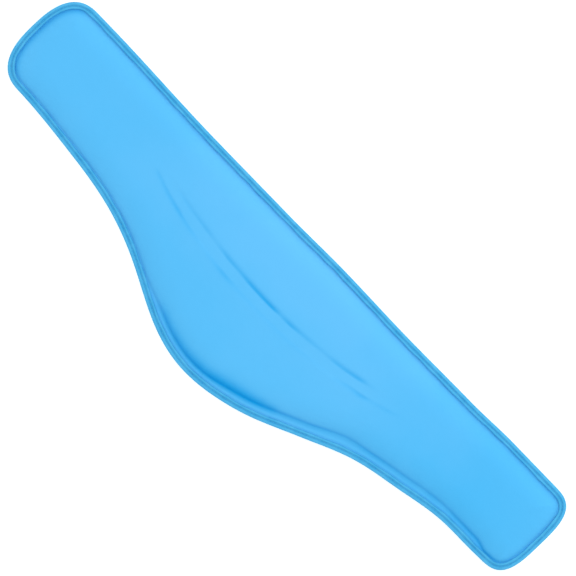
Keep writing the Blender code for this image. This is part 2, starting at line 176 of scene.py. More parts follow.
@dataclass(frozen=True)
class Outline:
    """The pack's outline from above, drawn from a few sizes."""

    length: float = 0.584
    width: float = 0.1508
    left_arm: float = 0.0905
    right_arm: float = 0.0836
    nape_shift: float = -0.0044
    left_reach: float = 0.0935
    right_reach: float = 0.1068
    hollow: float = 0.0028
    # Each row: place along the pack, share of the hollow.
    hollow_rows: tuple[Row, ...] = (
        (-1.0, 0.1),
        (-0.85, 0.15),
        (-0.42, 1.0),
        (-0.14, 0.95),
        (0.08, 0.55),
        (0.33, 0.85),
        (0.58, 0.6),
        (0.75, 0.0),
        (1.0, 0.0),
    )
    waver: float = 0.0014
    # Each row: place along the pack, share of the waver.
    waver_rows: tuple[Row, ...] = (
        (-1.0, 0.7),
        (-0.9, 0.8),
        (-0.66, -0.7),
        (-0.36, 0.75),
        (-0.16, -0.4),
        (0.07, 0.35),
        (0.21, -0.3),
        (0.33, 0.0),
        (0.46, 0.8),
        (0.61, -0.4),
        (0.76, 1.0),
        (0.88, 0.1),
        (1.0, 0.2),
    )
    left_corner: float = 0.0305
    right_corner: float = 0.0265
    left_squareness: float = 2.6
    right_squareness: float = 3.3
    least_corner: float = 0.25

    def along(self, x: Array) -> Array:
        """Places along the pack as shares of half its length."""
        return x / (self.length / 2)

    def straight(self, x: Array) -> Array:
        """The y of the long edge that is almost straight."""
        return self.width / 2 - self.hollow * from_rows(self.hollow_rows, self.along(x))

    def curved(self, x: Array) -> Array:
        """The y of the long edge that bulges at the nape.

        Args:
            x: Places along the pack.

        Returns:
            The y at each x.
        """
        on_left = x < self.nape_shift
        arm = np.where(on_left, self.left_arm, self.right_arm)
        reach = np.where(on_left, self.left_reach, self.right_reach)
        bell = 0.5 ** (((x - self.nape_shift) / reach) ** 2)
        waver = self.waver * from_rows(self.waver_rows, self.along(x))
        return self.width / 2 - arm - (self.width - arm) * bell + waver

    def stretch(self, edge: object, x: Array) -> Array:
        """How much longer an edge is than its run along X, at each x."""
        slope = (edge(x + MM / 2) - edge(x - MM / 2)) / MM
        return np.sqrt(1 + slope * slope)

    def corner(self, x: Array, inset: Array) -> tuple[Array, Array, Array]:
        """Where the corners of an end start, their length and squareness.

        Args:
            x: Places along the pack, whose sign picks the end.
            inset: How far the outline is drawn in.

        Returns:
            The start, the length and the squareness.
        """
        on_left = np.asarray(x) < 0
        length = np.where(on_left, self.left_corner, self.right_corner)
        squareness = np.where(on_left, self.left_squareness, self.right_squareness)
        length = np.maximum(length - inset, length * self.least_corner)
        return self.length / 2 - inset - length, length, squareness

    def rounded(self, share: Array, squareness: Array) -> Array:
        """How far an end still spans across, at a share of its corner's length."""
        return (1 - np.clip(share, 0.0, 1.0) ** squareness) ** (1 / squareness)

    def open_sides(self, x: Array, inset: Array) -> tuple[Array, Array]:
        """Both long edges drawn in, before the ends are rounded."""
        low = self.curved(x) + inset * self.stretch(self.curved, x)
        return low, self.straight(x) - inset * self.stretch(self.straight, x)

    def end_middle(self, x: Array) -> Array:
        """The y of the middle of the end that x belongs to."""
        tip = np.where(np.asarray(x) < 0, -self.length / 2, self.length / 2)
        return (self.straight(tip) + self.curved(tip)) / 2

    def sides(self, x: Array, inset: Array) -> tuple[Array, Array]:
        """Both long edges drawn in, with the rounded ends.

        Args:
            x: Places along the pack.
            inset: How far the outline is drawn in, one value or one for each place.

        Returns:
            The y of the lower and of the upper edge.
        """
        start, length, squareness = self.corner(x, inset)
        span = self.rounded((np.abs(x) - start) / length, squareness)
        low, high = self.open_sides(x, inset)
        middle = self.end_middle(x)
        return middle + (low - middle) * span, middle + (high - middle) * span

    def corner_x(self, sign: int, inset: float) -> float:
        """The x of the two corners of one end, halfway round them."""
        start, length, squareness = self.corner(float(sign), inset)
        return float(sign * (start + length * 0.5 ** (1 / squareness)))

    def end(self, sign: int, shares: Array, inset: float) -> Array:
        """Points across one end.

        Args:
            sign: -1 for the left end and 1 for the right end.
            shares: Shares of the way from the lower to the upper corner.
            inset: How far the outline is drawn in.

        Returns:
            One point for each share.
        """
        turn = self.corner_x(sign, inset)
        start, length, squareness = self.corner(turn, inset)
        low, high = self.sides(turn, inset)
        y = low + (high - low) * shares
        open_low, open_high = self.open_sides(turn, inset)
        middle = self.end_middle(turn)
        reach = np.where(y > middle, open_high - middle, middle - open_low)
        x = start + length * self.rounded(np.abs(y - middle) / reach, squareness)
        return np.column_stack((sign * x, y))

    def columns(self, count: int, inset: float) -> Array:
        """The x of each column, closer together towards the corners.

        Args:
            count: How many columns the pack has.
            inset: How far the outline is drawn in.

        Returns:
            One x for each column.
        """
        left, right = self.corner_x(-1, inset), self.corner_x(1, inset)
        share = np.linspace(0, 1, count + 1)
        crowded = 0.5 - 0.5 * np.cos(math.pi * share)
        return left + (right - left) * (share + (crowded - share) * CROWDING)

    def loop(self, inset: float, count: int, left: Array, right: Array, flange: Array = 0.0) -> Array:
        """Points round the outline, anticlockwise from the lower left corner.

        Args:
            inset: How far the outline is drawn in.
            count: How many columns the pack has.
            left: Shares of the way up the left end.
            right: Shares of the way up the right end.
            flange: How much further the curved edge is drawn in at each column.

        Returns:
            The points, with no point twice.
        """
        x = self.columns(count, inset)
        low, _ = self.sides(x, inset + flange)
        _, high = self.sides(x, inset)
        lower = np.column_stack((x, low))[:-1]
        upper = np.column_stack((x, high))[:0:-1]
        right_end = self.end(1, right, inset)[:-1]
        left_end = self.end(-1, left, inset)[:0:-1]
        return np.concatenate((lower, right_end, upper, left_end))


@dataclass
class EdgeRuler:
    """Measures from the outline: stations at even steps round it, and how far inwards a point lies."""

    outline: Outline
    step: float = 0.0003
    rough_columns: int = 1600
    rough_end: int = 400
    normal_reach: int = 8
    stations: Array = field(init=False)
    inward: Array = field(init=False)
    perimeter: float = field(init=False)
    tree: KDTree = field(init=False)

    def __post_init__(self) -> None:
        """Lays the stations out."""
        shares = np.linspace(0, 1, self.rough_end)
        rough = self.outline.loop(0.0, self.rough_columns, shares, shares)
        closed = np.vstack((rough, rough[:1]))
        run = np.hypot(*np.diff(closed, axis=0).T)
        far = np.concatenate(([0.0], np.cumsum(run)))
        self.perimeter = float(far[-1])
        self.stations = self._at(closed, far, round(self.perimeter / self.step))
        self.inward = self._normals(self.stations)
        self.tree = KDTree(len(self.stations))
        for number, (x, y) in enumerate(self.stations):
            self.tree.insert((x, y, 0.0), number)
        self.tree.balance()

    def _at(self, closed: Array, far: Array, count: int) -> Array:
        """Points at even steps along a closed run of points."""
        places = np.arange(count) * far[-1] / count
        return np.column_stack((np.interp(places, far, closed[:, 0]), np.interp(places, far, closed[:, 1])))

    def _normals(self, points: Array) -> Array:
        """The inward direction at each of the points round the outline.

        Args:
            points: Points round the outline.

        Returns:
            One direction for each point.
        """
        reach = self.normal_reach
        run = np.roll(points, -reach, axis=0) - np.roll(points, reach, axis=0)
        run /= np.hypot(*run.T)[:, None]
        return np.column_stack((-run[:, 1], run[:, 0]))

    def path(self, step: float) -> tuple[Array, Array, Array]:
        """Stations for something that runs round the edge.

        Args:
            step: About how far apart they are.

        Returns:
            The points, their inward directions and their distance along the outline.
        """
        count = round(self.perimeter / step)
        chosen = np.round(np.arange(count) * len(self.stations) / count).astype(int)
        return self.stations[chosen], self.inward[chosen], chosen * self.perimeter / len(self.stations)

    def measure(self, points: Array) -> tuple[Array, Array]:
        """How far points lie from the outline, and where along it.

        Args:
            points: Places on the pack.

        Returns:
            The distances, and the places along the outline.
        """
        found = [self.tree.find((x, y, 0.0)) for x, y in points]
        away = np.array([item[2] for item in found])
        number = np.array([item[1] for item in found])
        return away, number * self.perimeter / len(self.stations)


@dataclass(frozen=True)
class EdgeLayers:
    """The layers at the rim, from the ground up: tape, back panel, front panel, tape."""

    wall: float = 0.0010
    tape_wall: float = 0.0010
    tape_width: float = 0.0059
    clearance: float = 0.0003
    lift: float = 0.0020
    shoulder_gap: float = 0.0008

    @property
    def stack(self) -> float:
        """The height of all the layers together."""
        return 2 * self.tape_wall + 2 * self.wall + 3 * self.clearance

    @property
    def fold(self) -> float:
        """The radius of the tape's fold."""
        return self.stack / 2

    @property
    def back_rim(self) -> float:
        """The height of the back panel's outer face at its rim."""
        return self.lift + self.tape_wall + self.clearance

    @property
    def front_rim(self) -> float:
        """The height of the front panel's outer face at its rim."""
        return self.lift + self.stack - self.tape_wall - self.clearance

    @property
    def foot(self) -> float:
        """How far inwards of the outline the body starts to rise."""
        return self.tape_width + self.shoulder_gap


@dataclass(frozen=True)
class PressedArc:
    """The long shallow arc pressed in across the middle: a sunken band between two fine lines."""

    length: float = 0.287
    shift: float = -0.0024
    from_straight_edge: float = 0.0482
    sag: float = 0.0209
    band: float = 0.0072
    slope: float = 0.0034
    depth: float = 0.0005
    fade: float = 0.060
    line_depth: float = 0.00060
    inner_width: float = 0.0009
    outer_width: float = 0.0024
    # Each row: place along the arc, millimetres above its middle, strength of the line.
    upper_rows: tuple[Row, ...] = (
        (-0.82, 3.2, 0.0),
        (-0.70, 3.6, 0.15),
        (-0.51, 5.0, 0.30),
        (-0.44, 5.2, 0.12),
        (-0.30, 5.0, 0.55),
        (-0.23, 5.3, 0.50),
        (-0.10, 5.0, 0.90),
        (0.05, 4.9, 1.00),
        (0.12, 5.3, 0.40),
        (0.19, 4.9, 0.70),
        (0.28, 5.4, 0.38),
        (0.45, 5.6, 0.18),
        (0.54, 5.0, 0.50),
        (0.67, 5.3, 0.72),
        (0.75, 5.6, 0.12),
        (0.80, 5.6, 0.0),
    )
    # The same columns for the line below the band.
    lower_rows: tuple[Row, ...] = (
        (-0.97, -2.8, 0.0),
        (-0.92, -3.2, 0.25),
        (-0.78, -4.4, 0.40),
        (-0.71, -4.5, 0.55),
        (-0.62, -5.2, 0.28),
        (-0.45, -5.5, 0.05),
        (-0.37, -5.5, 0.18),
        (-0.27, -5.3, 0.45),
        (-0.16, -5.1, 0.12),
        (0.0, -4.6, 0.10),
        (0.30, -5.2, 0.10),
        (0.55, -4.6, 0.0),
        (0.68, -3.7, 0.25),
        (0.75, -4.0, 0.50),
        (0.82, -3.2, 0.14),
        (0.90, -2.8, 0.18),
        (1.02, -1.4, 0.0),
    )

    def along(self, x: Array) -> Array:
        """Places along the arc as shares of half its length."""
        return (x - self.shift) / (self.length / 2)

    def line(self, outline: Outline, x: Array) -> Array:
        """The y of the arc's middle, level beyond its ends."""
        share = np.clip(self.along(x), -1, 1)
        return outline.width / 2 - self.from_straight_edge - self.sag * (1 - share * share)

    def offset(self, outline: Outline, points: Array) -> Array:
        """How far above the arc's middle each point lies, square to the arc.

        Args:
            outline: The pack's outline.
            points: Places on the pack.

        Returns:
            One distance for each point.
        """
        x = points[:, 0]
        lean = outline.stretch(lambda place: self.line(outline, place), x)
        return (points[:, 1] - self.line(outline, x)) / lean

    def lines(self, outline: Outline, points: Array) -> Array:
        """How strongly each point lies on one of the two fine lines, from 0 to 1.

        Args:
            outline: The pack's outline.
            points: Places on the pack.

        Returns:
            One share for each point.
        """
        along, offset = self.along(points[:, 0]), self.offset(outline, points)
        total = np.zeros(len(points))
        for rows in (self.upper_rows, self.lower_rows):
            inside = (along > rows[0][0]) & (along < rows[-1][0])
            place = np.clip(along, rows[0][0], rows[-1][0])
            middle = from_rows(rows, place) * MM
            away = (offset - middle) * np.sign(middle)
            away /= np.where(away > 0, self.outer_width, self.inner_width)
            total += inside * from_rows(rows, place, 2) * np.exp(-away * away)
        return total

    def sunken(self, outline: Outline, points: Array) -> Array:
        """How deep the band lies at each point, as a share of its depth.

        Args:
            outline: The pack's outline.
            points: Places on the pack.

        Returns:
            One share for each point.
        """
        side = (np.abs(self.offset(outline, points)) - self.band / 2) / self.slope
        reach = (self.length / 2 - np.abs(points[:, 0] - self.shift)) / self.fade
        return eased(1 - side) * eased(reach)


@dataclass(frozen=True)
class PackForm:
    """The puffed form of the gel under its fabric."""

    outline: Outline
    layers: EdgeLayers
    arc: PressedArc
    crown: float = 0.0146
    shoulder: float = 0.026
    flange: float = 0.0066
    flange_fade: float = 0.5
    soft_steepness: float = 2.9
    firm_steepness: float = 3.4
    underside_curl: float = 0.0125
    swell_height: float = 0.0008
    # Each row: place along the pack, share of the flange's width, firmness of the shoulder.
    shoulder_rows: tuple[Row, ...] = (
        (-1.0, 0.0, 0.0),
        (-0.3, 0.0, 0.1),
        (-0.16, 0.5, 0.8),
        (0.0, 0.5, 1.0),
        (0.12, 0.75, 1.0),
        (0.3, 0.8, 0.7),
        (0.41, 1.0, 0.5),
        (0.5, 0.7, 0.4),
        (0.64, 0.7, 0.4),
        (0.82, 0.45, 0.5),
        (0.93, 0.4, 0.6),
        (1.0, 0.0, 0.3),
    )
    # Each row: place along, place across, reach as a share of an arm's width, height as a share.
    swell_rows: tuple[Row, ...] = (
        (-0.86, 0.35, 0.45, 0.6),
        (-0.62, 0.5, 0.4, -0.8),
        (-0.4, 0.3, 0.5, 0.7),
        (-0.16, 0.55, 0.4, 0.5),
        (-0.12, -0.45, 0.55, 1.0),
        (0.16, -0.25, 0.5, -0.8),
        (0.22, 0.6, 0.4, -0.5),
        (0.45, 0.3, 0.5, 0.8),
        (0.7, 0.5, 0.4, -0.7),
        (0.88, 0.45, 0.4, 0.6),
    )

    def on_curved_side(self, points: Array) -> Array:
        """1 near the curved edge, 0 from the arc to the straight edge.

        Args:
            points: Places on the pack.

        Returns:
            One share for each point.
        """
        x, y = points[:, 0], points[:, 1]
        line = self.arc.line(self.outline, x)
        return eased((line - y) / ((line - self.outline.curved(x)) / 2))

    def shoulder_share(self, points: Array, column: int) -> Array:
        """A column of the shoulder's table at each point: 1 the flange, 2 the firmness."""
        value = from_rows(self.shoulder_rows, self.outline.along(points[:, 0]), column)
        return value * self.on_curved_side(points)

    def flange_reach(self, points: Array) -> Array:
        """How wide the flat flange is between the tape and the shoulder.

        Args:
            points: Places on the pack.

        Returns:
            One width for each point.
        """
        start, length, _ = self.outline.corner(points[:, 0], 0.0)
        fade = eased((start - np.abs(points[:, 0])) / (length * self.flange_fade))
        return self.flange * self.shoulder_share(points, 1) * fade

    def past_foot(self, points: Array, away: Array) -> Array:
        """How far each point lies inwards of the line where the body rises."""
        return away - self.layers.foot - self.flange_reach(points)

    def swell(self, points: Array) -> Array:
        """The soft mounds and dips of the gel.

        Args:
            points: Places on the pack.

        Returns:
            One height for each point.
        """
        total = np.zeros(len(points))
        for along, across, reach, height in self.swell_rows:
            centre = np.array((along * self.outline.length, across * self.outline.width)) / 2
            away = np.hypot(*(points - centre).T) / (reach * self.outline.right_arm)
            total += self.swell_height * height * 0.5 ** (away * away)
        return total

    def front(self, points: Array, away: Array) -> Array:
        """The height of the front panel's outer face, before its seams and creases.

        Args:
            points: Places on the pack.
            away: How far each place lies from the outline.

        Returns:
            One height for each point.
        """
        inwards = np.clip(self.past_foot(points, away) / self.shoulder, 0, 1)
        firm = self.shoulder_share(points, 2)
        steepness = self.soft_steepness + (self.firm_steepness - self.soft_steepness) * firm
        rise = 1 - (1 - inwards) ** steepness
        return self.layers.front_rim + rise * (self.crown - self.layers.front_rim + self.swell(points))

    def back(self, points: Array, away: Array) -> Array:
        """The height of the back panel's outer face, flat on the ground but for its lifted rim."""
        return self.layers.back_rim * (1 - eased(self.past_foot(points, away) / self.underside_curl))


@dataclass(frozen=True)
class PanelPlan:
    """The grid that a panel is made on, with its rows following the pressed arc."""

    form: PackForm
    columns: int = 300
    below: int = 26
    band: int = 12
    above: int = 22
    # Insets past the foot of the body, from the grid's edge outwards.
    rings: tuple[float, ...] = (
        0.0104, 0.0090, 0.0077, 0.0065, 0.0054, 0.0044, 0.0035,
        0.0027, 0.0020, 0.0014, 0.0009, 0.0004, 0.0, -0.0006,
    )
    rim_shares: tuple[float, ...] = (0.2, 0.45, 0.72, 1.0)

    @property
    def rows(self) -> int:
        """How many rows of faces the grid has."""
        return self.below + self.band + self.above

    def _flange(self, inset: float) -> Array:
        """The flange's width at each column.

        Args:
            inset: How far the outline is drawn in.

        Returns:
            One width for each column.
        """
        x = self.form.outline.columns(self.columns, inset)
        low, _ = self.form.outline.sides(x, inset)
        return self.form.flange_reach(np.column_stack((x, low)))

    def grid(self) -> tuple[Array, Array, Array]:
        """The body's plan.

        Returns:
            A point for each row and column, and the rows' shares of both ends.
        """
        outline, arc = self.form.outline, self.form.arc
        inset = self.form.layers.foot + self.rings[0]
        x = outline.columns(self.columns, inset)
        low, _ = outline.sides(x, inset + self._flange(inset))
        _, high = outline.sides(x, inset)
        line = arc.line(outline, x)
        brink = (arc.band / 2 + arc.slope) * outline.stretch(lambda place: arc.line(outline, place), x)
        parts = (
            np.linspace(low, line - brink, self.below + 1),
            np.linspace(line - brink, line + brink, self.band + 1)[1:-1],
            np.linspace(line + brink, high, self.above + 1),
        )
        y = np.concatenate(parts)
        shares = (y - y[0]) / (y[-1] - y[0])
        left, right = shares[:, 0], shares[:, -1]
        across = np.linspace(0, 1, self.columns + 1)
        left_bulge = outline.end(-1, left, inset)[:, 0] - x[0]
        right_bulge = outline.end(1, right, inset)[:, 0] - x[-1]
        x = x + np.outer(left_bulge, 1 - across) + np.outer(right_bulge, across)
        return np.dstack((x, y)), left, right

    def numbers(self) -> Array:
        """The point numbers of the grid, a row for each of its rows."""
        wide, high = self.columns + 1, self.rows + 1
        return np.arange(wide * high).reshape(high, wide)

    def ring_numbers(self) -> Array:
        """The point numbers round the grid's edge, anticlockwise from the lower left corner."""
        number = self.numbers()
        return np.concatenate((number[0, :-1], number[:-1, -1], number[-1, :0:-1], number[:0:-1, 0]))

    def points_and_faces(self) -> tuple[Array, Array]:
        """The whole sheet's plan, from its middle out to the rim inside the tape.

        Returns:
            The points, and the point numbers of each face.
        """
        plan, left, right = self.grid()
        number = self.numbers()
        corners = (number[:-1, :-1], number[:-1, 1:], number[1:, 1:], number[1:, :-1])
        faces = [np.dstack(corners).reshape(-1, 4)]
        points = [plan.reshape(-1, 2)]
        ring, total = self.ring_numbers(), number.size
        for loop in self._loops(left, right):
            fresh = total + np.arange(len(loop))
            quads = (np.roll(ring, -1), ring, fresh, np.roll(fresh, -1))
            faces.append(np.column_stack(quads))
            points.append(loop)
            ring, total = fresh, total + len(loop)
        return np.concatenate(points), np.concatenate(faces)

    def _loops(self, left: Array, right: Array) -> list[Array]:
        """The rings from the body's grid out to the rim.

        Args:
            left: Shares of the way up the left end.
            right: Shares of the way up the right end.

        Returns:
            One set of points for each ring.
        """
        outline, layers = self.form.outline, self.form.layers
        loops = []
        for step in self.rings[1:]:
            inset = layers.foot + step
            flange = self._flange(inset) if step > 0 else self._flange(inset) * (1 + step / MM)
            loops.append(outline.loop(inset, self.columns, left, right, flange))
        rim = layers.fold
        first = layers.foot + self.rings[-1]
        last_flange = self._flange(first) * (1 + self.rings[-1] / MM)
        for share in self.rim_shares:
            inset = first + (rim - first) * share
            loops.append(outline.loop(inset, self.columns, left, right, last_flange * (1 - share)))
        return loops


def node_material(name: str) -> tuple[bpy.types.Material, bpy.types.Node]:
    """A new material with a Principled shader.

    Args:
        name: The material's name.

    Returns:
        The material and its shader node.
    """
    material = bpy.data.materials.new(name)
    material.use_nodes = True
    return material, material.node_tree.nodes["Principled BSDF"]


@dataclass
class Wiring:
    """Adds nodes to one material, a line for each."""

    material: bpy.types.Material

    def node(self, kind: str, inputs: dict | None = None, **settings: object) -> bpy.types.Node:
        """Adds a node.

        Args:
            kind: The node's type.
            inputs: Values or other nodes' sockets for its inputs.
            **settings: The node's own settings.

        Returns:
            The node.
        """
        node = self.material.node_tree.nodes.new(kind)
        for key, value in settings.items():
            setattr(node, key, value)
        for key, value in (inputs or {}).items():
            self.feed(node.inputs[key], value)
        return node

    def feed(self, socket: Socket, value: object) -> None:
        """Sets a socket, or links it to another node's socket.

        Args:
            socket: The input.
            value: A value, or another node's output.
        """
        if isinstance(value, Socket):
            self.material.node_tree.links.new(value, socket)
        else:
            socket.default_value = value

    def place(self, turn: float = 0.0, uv: bool = False) -> Socket:
        """Coordinates on the piece: Object, or its own UV map, turned about Z.

        Args:
            turn: The turn, in radians.
            uv: Whether the UV map is read.

        Returns:
            The coordinates.
        """
        source = self.node("ShaderNodeTexCoord").outputs["UV" if uv else "Object"]
        inputs = {"Vector": source, "Rotation": (0.0, 0.0, turn)}
        return self.node("ShaderNodeMapping", inputs).outputs["Vector"]

    def noise(self, scale: float, detail: float = 3.0) -> Socket:
        """Noise from 0 to 1, its scale in waves a metre."""
        inputs = {"Vector": self.place(), "Scale": scale, "Detail": detail}
        return self.node("ShaderNodeTexNoise", inputs).outputs["Fac"]

    def remap(self, value: object, source: Range, target: Range) -> Socket:
        """Maps one range onto another and holds it inside."""
        keys = ("Value", "From Min", "From Max", "To Min", "To Max")
        return self.node("ShaderNodeMapRange", dict(zip(keys, (value, *source, *target)))).outputs["Result"]

    def uneven(self, scale: float, target: Range) -> Socket:
        """A value that noise moves about between two ends."""
        return self.remap(self.noise(scale), NOISE_BODY, target)

    def lanes(self, place: Socket, direction: str, pitch: float, distortion: float) -> Socket:
        """Rounded threads side by side, as a height from 0 to 1.

        Args:
            place: The coordinates.
            direction: The axis across the threads.
            pitch: How far apart they are.
            distortion: How uneven they are.

        Returns:
            The height.
        """
        inputs = {
            "Vector": place,
            "Scale": WAVE_LENGTH / pitch,
            "Distortion": distortion,
            "Detail": 1.0,
        }
        node = self.node("ShaderNodeTexWave", inputs, bands_direction=direction, wave_profile="SIN")
        return node.outputs["Fac"]

    def math(self, operation: str, first: object, second: object) -> Socket:
        """One sum of two values.

        Args:
            operation: The kind of sum.
            first: The first value.
            second: The second value.

        Returns:
            The result.
        """
        node = self.node("ShaderNodeMath", operation=operation)
        self.feed(node.inputs[0], first)
        self.feed(node.inputs[1], second)
        return node.outputs["Value"]

    def mix(self, share: object, first: object, second: object) -> Socket:
        """Mixes two colours by a share.

        Args:
            share: How much of the second is used.
            first: The first colour.
            second: The second colour.

        Returns:
            The mixed colour.
        """
        node = self.node("ShaderNodeMix", data_type="RGBA")
        for index, value in ((0, share), (6, first), (7, second)):
            if isinstance(value, tuple) and len(value) == 3:
                value = (*value, 1.0)
            self.feed(node.inputs[index], value)
        return node.outputs[2]

    def attribute(self, name: str) -> Socket:
        """A share written on the mesh."""
        return self.node("ShaderNodeAttribute", attribute_name=name).outputs["Fac"]

    def bump(self, height: object, distance: float, strength: float, below: object = None) -> Socket:
        """Bends the normal by a height from 0 to 1.

        Args:
            height: The height socket.
            distance: What a height of 1 stands for, in metres.
            strength: How much of it is used.
            below: The normal of a bump below this one.

        Returns:
            The bent normal.
        """
        inputs = {"Height": height, "Distance": distance, "Strength": strength}
        if below is not None:
            inputs["Normal"] = below
        return self.node("ShaderNodeBump", inputs).outputs["Normal"]


def set_inputs(shader: bpy.types.Node, values: dict[str, object]) -> None:
    """Sets constant values on a shader's sockets."""
    for key, value in values.items():
        shader.inputs[key].default_value = value


@dataclass(frozen=True)
class PanelFinish:
    """Soft brushed jersey, light blue; its colour carries painted shade at the shoulder's crease, along the
    pressed lines and beside the left end's tape, and a painted highlight and painted shade across its top.
    """

    name: str = "panel_jersey"
    # The light tone serves the painted highlight and the random flecks; the dark tone serves the painted shade
    # over the right arm.
    light: Colour = (0.129, 0.535, 0.948)
    middle: Colour = (0.099, 0.511, 0.925)
    dark: Colour = (0.071, 0.487, 0.910)
    # The colour of the painted shade at the crease, along the pressed lines and between the knit's loops.
    painted_shade: Colour = (0.001, 0.362, 0.830)
    # A painted highlight over the upper middle of the top and a painted shade over the right arm, each a soft
    # oval.
    painted_highlight_oval: Oval = ((0.0, 0.046), (0.21, 0.075))
    painted_shade_oval: Oval = ((0.225, 0.010), (0.12, 0.12))
    patch_scale: float = 17.0
    patch_strength: float = 0.16
    fleck_scale: float = 900.0
    fleck_strength: float = 0.10
    roughness: Range = (0.77, 0.88)
    roughness_scale: float = 260.0
    sheen: float = 0.10
    sheen_roughness: float = 0.45
    sheen_tint: Colour = (0.55, 0.80, 1.0)
    specular: float = 0.10
    stitch_pitch: float = 0.0005625
    stitch_waver: float = 0.6
    stitch_shade: float = 0.06
    # Each bump: its depth in metres and its strength.
    stitch_bump: Range = (0.00012, 0.55)
    wave_scale: float = 48.0
    wave_bump: Range = (0.0010, 0.30)
    fuzz_scale: float = 1500.0
    fuzz_bump: Range = (0.00008, 0.5)

    def material(self) -> bpy.types.Material:
        """Builds the node material.

        Returns:
            The finished material.
        """
        material, shader = node_material(self.name)
        w = Wiring(material)
        patches = w.remap(w.noise(self.patch_scale), (0.35, 0.65), (-self.patch_strength, self.patch_strength))
        # Painted shade over the right arm, then a painted highlight over the upper middle mixed with random
        # patches.
        cloth = w.mix(self._oval(w, self.painted_shade_oval), self.middle, self.dark)
        bright = w.math("ADD", self._oval(w, self.painted_highlight_oval), patches)
        cloth = w.mix(w.remap(bright, (0.0, 0.8), WHOLE), cloth, self.light)
        flecks = w.remap(w.noise(self.fleck_scale, 2.0), NOISE_BODY, (0.0, self.fleck_strength))
        cloth = w.mix(flecks, cloth, self.light)
        # Painted shade: the mesh's share darkens the cloth at the shoulder's crease, the pressed lines and the
        # left end.
        cloth = w.mix(w.attribute("painted_shade"), cloth, self.painted_shade)
        knit = self._knit(w)
        cloth = w.mix(w.remap(knit, WHOLE, (self.stitch_shade, 0.0)), cloth, self.painted_shade)
        w.feed(shader.inputs["Base Color"], cloth)
        w.feed(shader.inputs["Roughness"], w.uneven(self.roughness_scale, self.roughness))
        set_inputs(shader, {
            "Sheen Weight": self.sheen,
            "Sheen Roughness": self.sheen_roughness,
            "Sheen Tint": (*self.sheen_tint, 1.0),
            "Specular IOR Level": self.specular,
        })
        waves = w.bump(w.noise(self.wave_scale), *self.wave_bump)
        loops = w.bump(knit, *self.stitch_bump, waves)
        w.feed(shader.inputs["Normal"], w.bump(w.noise(self.fuzz_scale, 2.0), *self.fuzz_bump, loops))
        return material

    def _oval(self, w: Wiring, oval: Oval) -> Socket:
        """A soft oval on the pack: 1 at its centre, 0 from its reach outwards.

        Args:
            w: The material's wiring.
            oval: Its centre and its reach.

        Returns:
            The share.
        """
        centre, reach = oval
        inputs = {
            "Vector": w.node("ShaderNodeTexCoord").outputs["Object"],
            "Location": (-centre[0] / reach[0], -centre[1] / reach[1], 0.0),
            "Scale": (1 / reach[0], 1 / reach[1], 0.0),
        }
        place = {"Vector": w.node("ShaderNodeMapping", inputs).outputs["Vector"]}
        return w.node("ShaderNodeTexGradient", place, gradient_type="SPHERICAL").outputs["Fac"]

    def _knit(self, w: Wiring) -> Socket:
        """The fine slanting loops of the knit, as a height from 0 to 1.

        Args:
            w: The material's wiring.

        Returns:
            The height.
        """
        place = w.place(math.pi / 4)
        lanes = [w.lanes(place, direction, self.stitch_pitch, self.stitch_waver) for direction in ("X", "Y")]
        return w.math("MULTIPLY", *lanes)


@dataclass(frozen=True)
class TapeFinish:
    """Woven binding tape: fine cross ribs, a darker blue than the panels, with painted shade and a painted
    highlight.
    """

    name: str = "binding_weave"
    light: Colour = (0.085, 0.505, 0.855)
    dark: Colour = (0.040, 0.410, 0.770)
    shade: Colour = (0.006, 0.275, 0.600)
    streak_scale: float = 120.0
    rib_pitch: float = 0.00105
    end_pitch: float = 0.000651
    rib_share: float = 0.7
    thread_waver: float = 0.4
    weave_bump: Range = (0.00022, 0.8)
    roughness: Range = (0.64, 0.80)
    roughness_scale: float = 400.0
    sheen: float = 0.12
    sheen_roughness: float = 0.4
    specular: float = 0.3
    pucker_scale: float = 220.0
    pucker_bump: Range = (0.0004, 0.35)

    def material(self) -> bpy.types.Material:
        """Builds the node material, whose pattern follows the tape's own UV map in metres.

        Returns:
            The finished material.
        """
        material, shader = node_material(self.name)
        w = Wiring(material)
        place = w.place(uv=True)
        ribs = w.lanes(place, "X", self.rib_pitch, self.thread_waver)
        ends = w.lanes(place, "Y", self.end_pitch, self.thread_waver)
        ribs = w.math("MULTIPLY", ribs, self.rib_share)
        weave = w.math("ADD", ribs, w.math("MULTIPLY", ends, 1 - self.rib_share))
        cloth = w.mix(w.remap(w.noise(self.streak_scale), (0.35, 0.65), WHOLE), self.dark, self.light)
        cloth = w.mix(w.remap(weave, (0.0, 0.8), (0.45, 0.0)), cloth, self.shade)
        # Painted highlight on the raised inner lip and the top of the fold.
        cloth = w.mix(w.attribute("painted_highlight"), cloth, self.light)
        # Painted shade in the sewn furrow, at the outermost line of the fold and along the inner edge.
        cloth = w.mix(w.attribute("painted_shade"), cloth, self.shade)
        w.feed(shader.inputs["Base Color"], cloth)
        w.feed(shader.inputs["Roughness"], w.uneven(self.roughness_scale, self.roughness))
        set_inputs(shader, {
            "Sheen Weight": self.sheen,
            "Sheen Roughness": self.sheen_roughness,
            "Specular IOR Level": self.specular,
        })
        puckers = w.bump(w.noise(self.pucker_scale), *self.pucker_bump)
        w.feed(shader.inputs["Normal"], w.bump(weave, *self.weave_bump, puckers))
        return material


